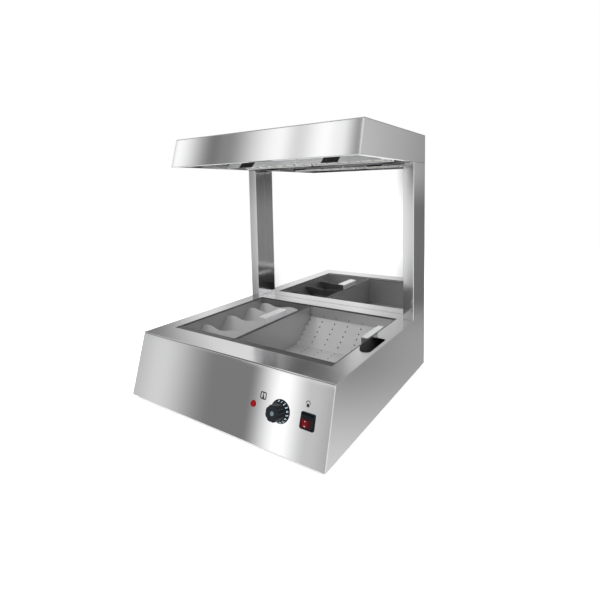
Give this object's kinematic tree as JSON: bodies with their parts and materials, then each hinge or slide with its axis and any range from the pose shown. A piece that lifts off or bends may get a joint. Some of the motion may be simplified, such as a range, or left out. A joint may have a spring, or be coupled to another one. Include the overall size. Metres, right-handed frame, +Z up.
{
  "type": "chip warmer",
  "caption": "Countertop chip warmer with a heated base, lift-out pans and a canopy with infrared lamps on two posts.",
  "frame": {"origin": "centre of the bounding box at the feet's underside", "axes": "+Z up; -Y to the front with the controls; +X to the right as seen from the front"},
  "size_m": [0.58, 0.6095, 0.679],
  "materials": {
    "brushed_panels": "brushed stainless sheet",
    "inner_steel": "plain stainless sheet",
    "pan_steel": "satin stainless sheet",
    "mirror_steel": "mirror-polished stainless sheet",
    "reflector_aluminium": "bright anodised aluminium",
    "tube_glass": "frosted quartz",
    "ceramic": "glazed ceramic",
    "wire_steel": "bright wire",
    "element_steel": "oxidised heating element",
    "mineral_wool": "mineral wool",
    "black_rubber": "matt rubber",
    "knob_plastic": "black moulded plastic",
    "dial_plastic": "black moulded plastic with plain white numbers",
    "cap_plastic": "pale grey disc",
    "switch_plastic": "black moulded plastic",
    "red_window": "clear red plastic",
    "red_lens": "red plastic lens",
    "bright_bezel": "plated ring",
    "copper": "copper",
    "shaft_steel": "turned metal",
    "gland_plastic": "black nylon",
    "screw_steel": "stainless screws"
  },
  "bodies": {
    "housing": {"front_panel": "brushed_panels", "left_side_panel": "brushed_panels", "right_side_panel": "brushed_panels", "rear_panel": "brushed_panels", "bottom_plate": "inner_steel", "feet": "black_rubber", "deck": "brushed_panels", "well_liner": "inner_steel", "pan_rails": "inner_steel", "well_heater": "element_steel", "heater_clips": "inner_steel", "insulation_slab": "mineral_wool", "thermostat_body": "knob_plastic", "thermostat_probe": "copper", "pilot_lamp_holder": "bright_bezel", "pilot_lens": "red_lens", "switch_housing": "switch_plastic", "terminal_block": "ceramic", "cable_gland": "gland_plastic", "rear_panel_screws": "screw_steel", "left_post": "brushed_panels", "right_post": "brushed_panels", "back_panel": "mirror_steel", "canopy_front": "brushed_panels", "canopy_left_side": "brushed_panels", "canopy_right_side": "brushed_panels", "canopy_rear": "brushed_panels", "canopy_top": "brushed_panels", "left_reflector": "reflector_aluminium", "right_reflector": "reflector_aluminium", "left_lamp_tube": "tube_glass", "right_lamp_tube": "tube_glass", "left_lamp_holders": "ceramic", "right_lamp_holders": "ceramic", "left_lamp_bracket": "inner_steel", "right_lamp_bracket": "inner_steel", "left_lamp_guard": "wire_steel", "right_lamp_guard": "wire_steel"},
    "left_pan": {"left_pan": "pan_steel", "divider_plates": "pan_steel", "left_handle": "brushed_panels"},
    "right_pan": {"right_pan": "pan_steel", "right_handle": "brushed_panels"},
    "insert": {"perforated_insert": "pan_steel"},
    "knob": {"knob_grip": "knob_plastic", "knob_dial": "dial_plastic", "knob_cap": "cap_plastic", "thermostat_shaft": "shaft_steel"},
    "rocker": {"switch_rocker": "switch_plastic", "rocker_lens": "red_window"}
  },
  "joints": [
    {"name": "knob_turn", "type": "hinge", "parent": "housing", "child": "knob", "pos_m": [0.174, -0.27147, 0.0875], "axis": [0, 0.9599, -0.2805], "range_deg": [0, 280]},
    {"name": "rocker_tilt", "type": "hinge", "parent": "housing", "child": "rocker", "pos_m": [0.2405, -0.2708, 0.08622], "axis": [1, 0, 0], "range_deg": [0, 18]},
    {"name": "left_pan_lift", "type": "slide", "parent": "housing", "child": "left_pan", "axis": [0, 0, 1], "range_m": [0, 0.14]},
    {"name": "right_pan_lift", "type": "slide", "parent": "housing", "child": "right_pan", "axis": [0, 0, 1], "range_m": [0, 0.14]},
    {"name": "insert_lift", "type": "slide", "parent": "right_pan", "child": "insert", "axis": [0, 0, 1], "range_m": [0, 0.12]}
  ]
}
